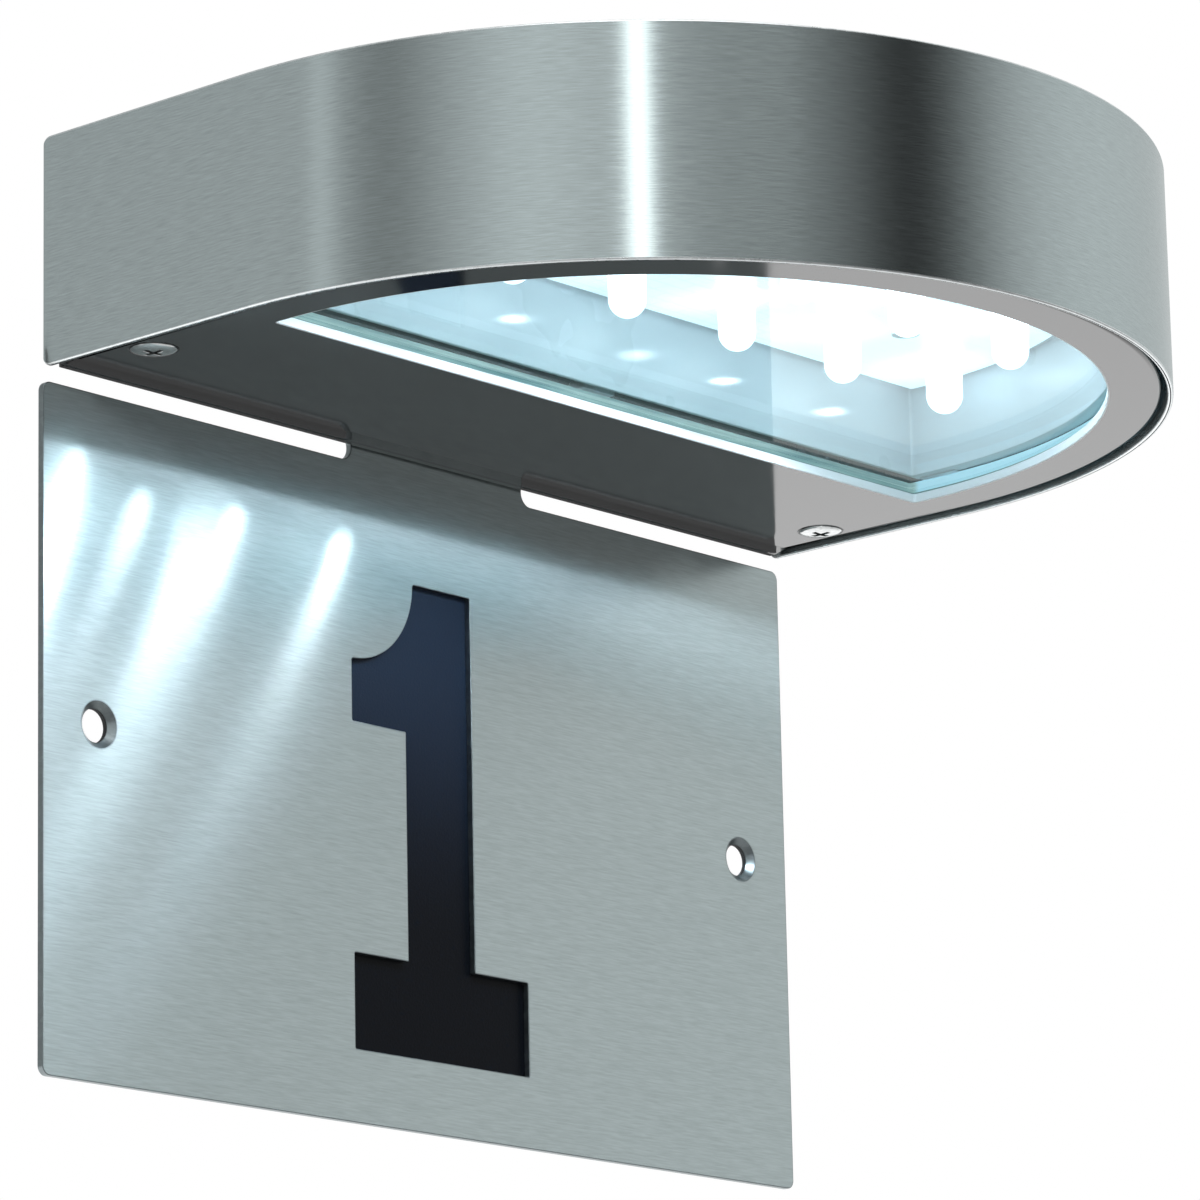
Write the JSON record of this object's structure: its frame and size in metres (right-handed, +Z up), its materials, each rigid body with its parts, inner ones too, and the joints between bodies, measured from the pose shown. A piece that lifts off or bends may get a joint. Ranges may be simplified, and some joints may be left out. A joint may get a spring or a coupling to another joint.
{
  "type": "illuminated house number sign",
  "caption": "Brushed steel wall plate with a cut-out house number under a D-shaped LED lamp housing whose glazed cover frame comes down for service.",
  "frame": {"origin": "wall plane, midway between the two lower wall fixings of the number plate", "axes": "+Y into the wall, -Y out towards the viewer, +X to the right when facing the sign, +Z up"},
  "size_m": [0.23, 0.1727, 0.1937],
  "materials": {
    "zinc": "zinc plated",
    "rubber": "matt",
    "grey_paint": "semi-gloss",
    "stainless": "polished",
    "digit_black": "fine texture",
    "driver_plastic": "matt",
    "glass": "clear",
    "brushed_band": "brushed along the band",
    "lead_earth": "satin",
    "lead_led": "satin",
    "lead_brown": "satin",
    "lead_blue": "satin",
    "board_white": "white solder mask",
    "led_lens": "clear dome, lit",
    "reflector": "satin reflector",
    "terminal_plastic": "satin",
    "brushed_plate": "horizontally brushed"
  },
  "bodies": {
    "housing": {"board_post_front": "zinc", "board_post_left": "zinc", "board_post_right": "zinc", "board_screw_front": "zinc", "board_screw_left": "zinc", "board_screw_right": "zinc", "cable_grommet": "rubber", "cover_post_left": "zinc", "cover_post_right": "zinc", "digit_backing": "digit_black", "driver_case": "driver_plastic", "driver_screw_left": "zinc", "driver_screw_right": "zinc", "earth_nut": "zinc", "earth_stud": "zinc", "earth_tag": "zinc", "fixing_pad_left": "rubber", "fixing_pad_right": "rubber", "front_socket": "zinc", "housing_back": "grey_paint", "housing_band": "brushed_band", "housing_top": "grey_paint", "lead_earth": "lead_earth", "lead_led": "lead_led", "lead_live": "lead_brown", "lead_neutral": "lead_blue", "led_board": "board_white", "led_front_1": "led_lens", "led_front_2": "led_lens", "led_middle_1": "led_lens", "led_middle_2": "led_lens", "led_middle_3": "led_lens", "led_middle_4": "led_lens", "led_middle_5": "led_lens", "led_rear_1": "led_lens", "led_rear_2": "led_lens", "led_rear_3": "led_lens", "led_rear_4": "led_lens", "led_rear_5": "led_lens", "led_rear_6": "led_lens", "light_chamber": "reflector", "plate_stud_left": "zinc", "plate_stud_right": "zinc", "stud_nut_left": "zinc", "stud_nut_right": "zinc", "terminal_block": "terminal_plastic", "wall_gasket": "rubber", "wall_plate": "brushed_plate"},
    "cover": {"clip_screw_left": "zinc", "clip_screw_rear": "zinc", "clip_screw_right": "zinc", "cover_frame": "grey_paint", "front_stud": "stainless", "glass_clip_left": "zinc", "glass_clip_rear": "zinc", "glass_clip_right": "zinc", "glass_pane": "glass", "glass_seal": "rubber"},
    "cover_screw_left": {"cover_screw_left": "stainless"},
    "cover_screw_right": {"cover_screw_right": "stainless"}
  },
  "joints": [
    {"name": "cover_drop", "type": "slide", "parent": "housing", "child": "cover", "axis": [0, 0, -1], "range_m": [0, 0.06]},
    {"name": "left_screw_turn", "type": "hinge", "parent": "cover", "child": "cover_screw_left", "pos_m": [-0.1049, -0.024, 0.075], "axis": [0, 0, 1], "continuous": true},
    {"name": "right_screw_turn", "type": "hinge", "parent": "cover", "child": "cover_screw_right", "pos_m": [0.1049, -0.024, 0.075], "axis": [0, 0, 1], "continuous": true}
  ]
}
